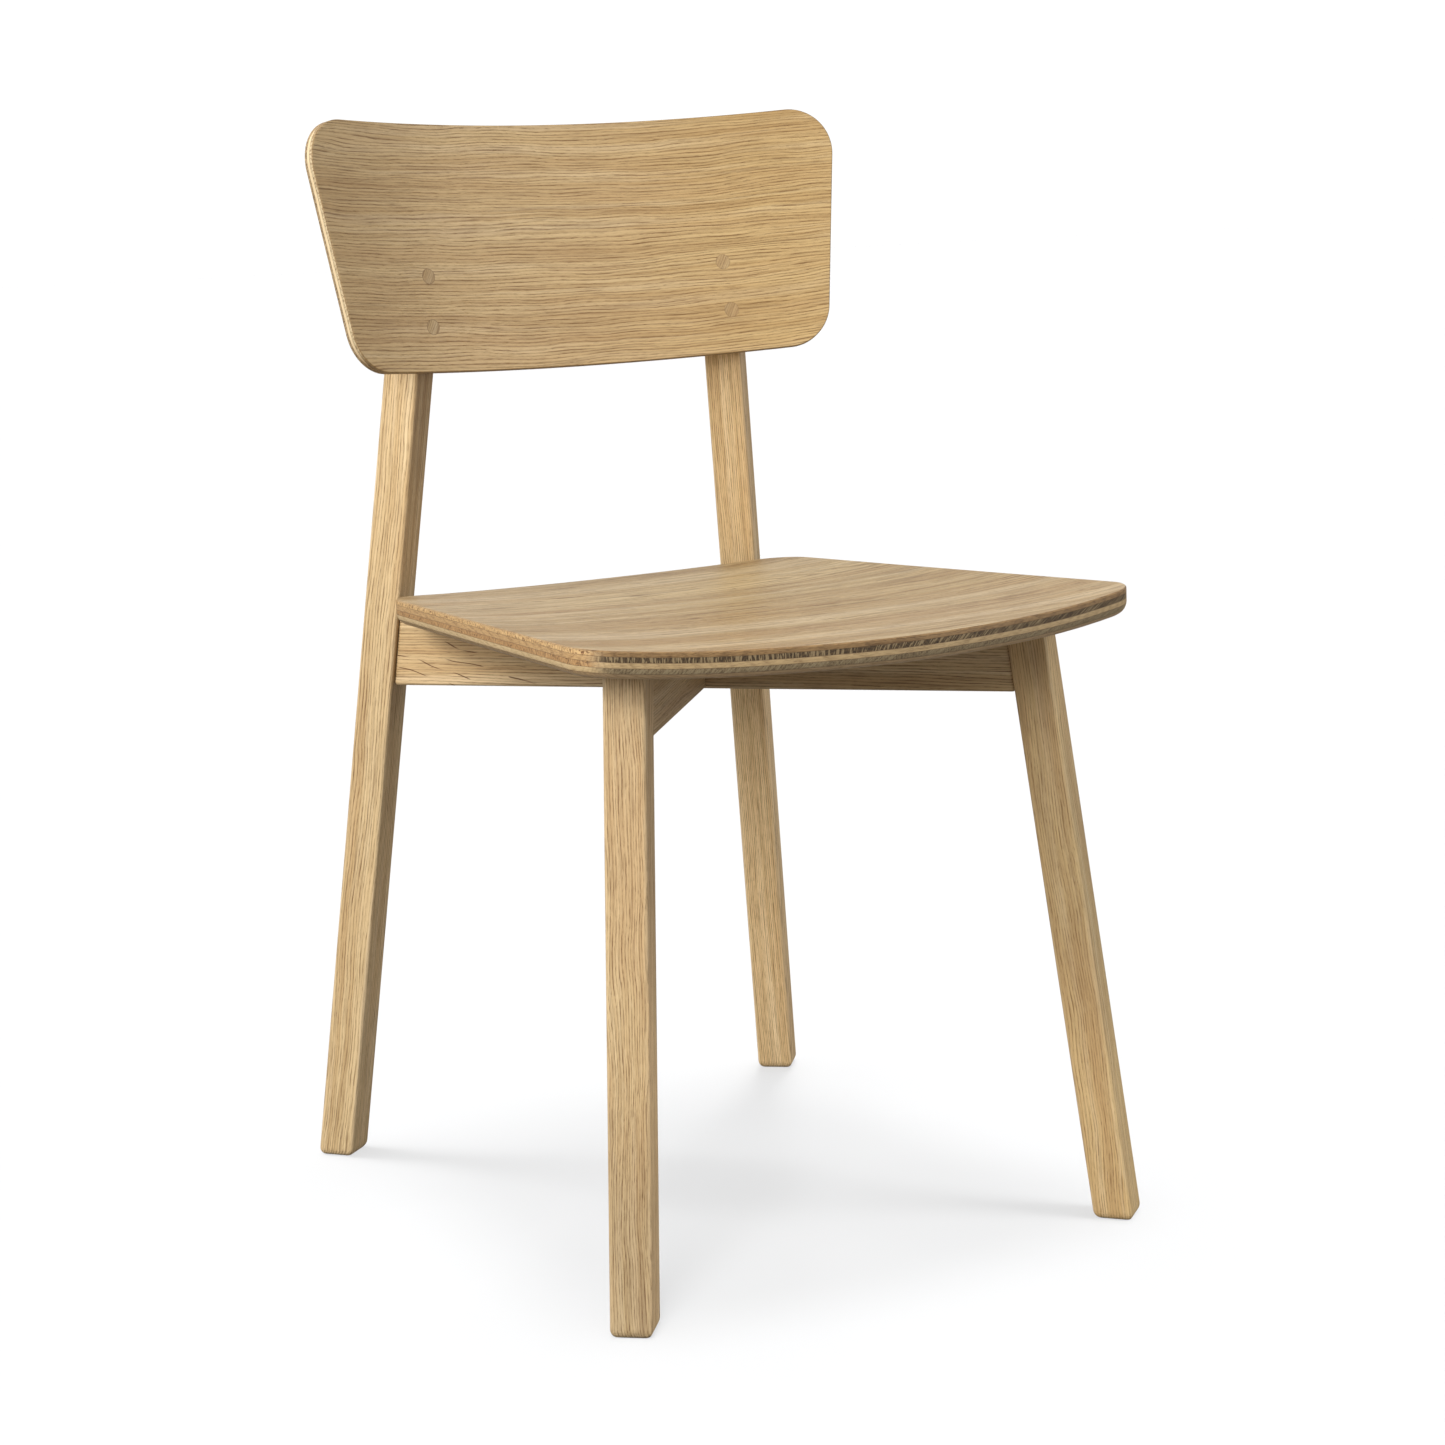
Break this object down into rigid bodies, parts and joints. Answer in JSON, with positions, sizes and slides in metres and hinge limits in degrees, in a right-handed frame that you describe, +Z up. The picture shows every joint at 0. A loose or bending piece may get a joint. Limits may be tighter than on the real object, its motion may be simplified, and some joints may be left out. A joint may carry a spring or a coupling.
{
  "type": "dining chair",
  "caption": "Oak dining chair with four splayed square legs on a crossed diagonal rail frame, a hollowed laminated seat and a curved laminated backrest.",
  "frame": {"origin": "on the floor, under the middle of the chair's bounding box", "axes": "+Z up, the front of the chair faces -Y, +X runs across the width; the chair mirrors about X = 0"},
  "size_m": [0.4486, 0.5485, 0.8032],
  "materials": {
    "oak_legs": "matte oiled oak, grain along the leg, eased edges",
    "oak_rails": "matte oiled oak, grain along the rail",
    "oak_seat_face": "matte oiled oak veneer, cathedral grain across the width",
    "oak_ply_long": "oak ply with its grain across the width, clear edge",
    "oak_ply_cross": "oak ply with its grain front to back or upright, open end grain at the edge",
    "oak_back_face": "matte oiled oak veneer, straight grain across the width",
    "oak_plugs": "oak plug sanded flush, matte oil",
    "beech_dowels": "plain beech",
    "screw_steel": "zinc plated steel"
  },
  "bodies": {
    "root": {"leg_front_left": "oak_legs", "leg_front_right": "oak_legs", "leg_rear_left": "oak_legs", "leg_rear_right": "oak_legs", "rail_rear_left_front_right": "oak_rails", "rail_rear_right_front_left": "oak_rails", "rail_dowels": "beech_dowels", "seat_ply_1_top": "oak_seat_face", "seat_ply_2": "oak_ply_cross", "seat_ply_3": "oak_ply_long", "seat_ply_4": "oak_ply_cross", "seat_ply_5_bottom": "oak_ply_long", "seat_screws": "screw_steel", "back_ply_front": "oak_back_face", "back_ply_core": "oak_ply_cross", "back_ply_rear": "oak_back_face", "back_screws": "screw_steel", "back_plugs": "oak_plugs"}
  },
  "joints": []
}
